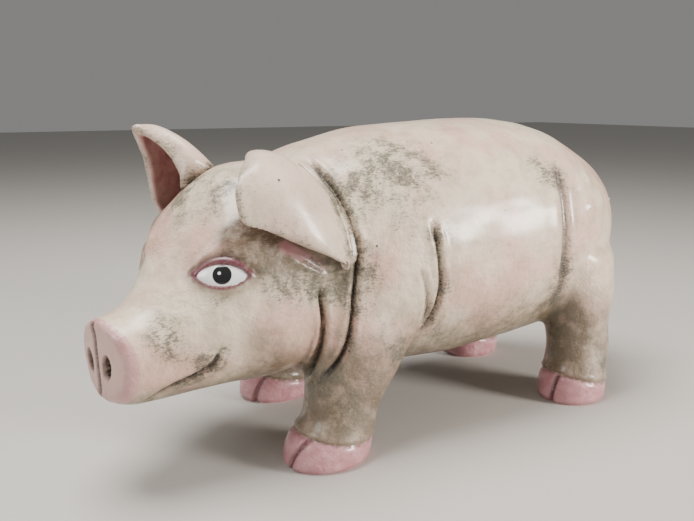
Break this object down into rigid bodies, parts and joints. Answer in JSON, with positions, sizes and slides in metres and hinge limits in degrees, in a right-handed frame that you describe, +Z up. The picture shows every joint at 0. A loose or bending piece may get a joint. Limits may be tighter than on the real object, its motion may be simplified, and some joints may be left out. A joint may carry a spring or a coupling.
{
  "type": "piggy bank",
  "caption": "Hollow standing pig savings bank of painted clay, with a coin slot along the back and a pull-out rubber stopper under the belly.",
  "frame": {"origin": "on the table under the middle of the pig's bounding box", "axes": "+Z up, the pig looks along -Y, its left side is +X"},
  "size_m": [0.1902, 0.4925, 0.2358],
  "materials": {
    "painted_body": "cream and pale pink hand paint with grey-olive dry brushing, under satin varnish",
    "painted_ear": "cream outside and dusty pink inside, under satin varnish",
    "painted_eye": "white with a black iris, under gloss varnish",
    "painted_tail": "pale pink hand paint under satin varnish",
    "stopper_rubber": "matt black moulded rubber"
  },
  "bodies": {
    "bank": {"left_half_shell": "painted_body", "right_half_shell": "painted_body", "left_ear": "painted_ear", "right_ear": "painted_ear", "left_eye": "painted_eye", "right_eye": "painted_eye", "tail": "painted_tail"},
    "stopper": {"belly_stopper": "stopper_rubber"}
  },
  "joints": [
    {"name": "stopper_pull", "type": "slide", "parent": "bank", "child": "stopper", "axis": [0, 0, -1], "range_m": [0, 0.038]}
  ]
}
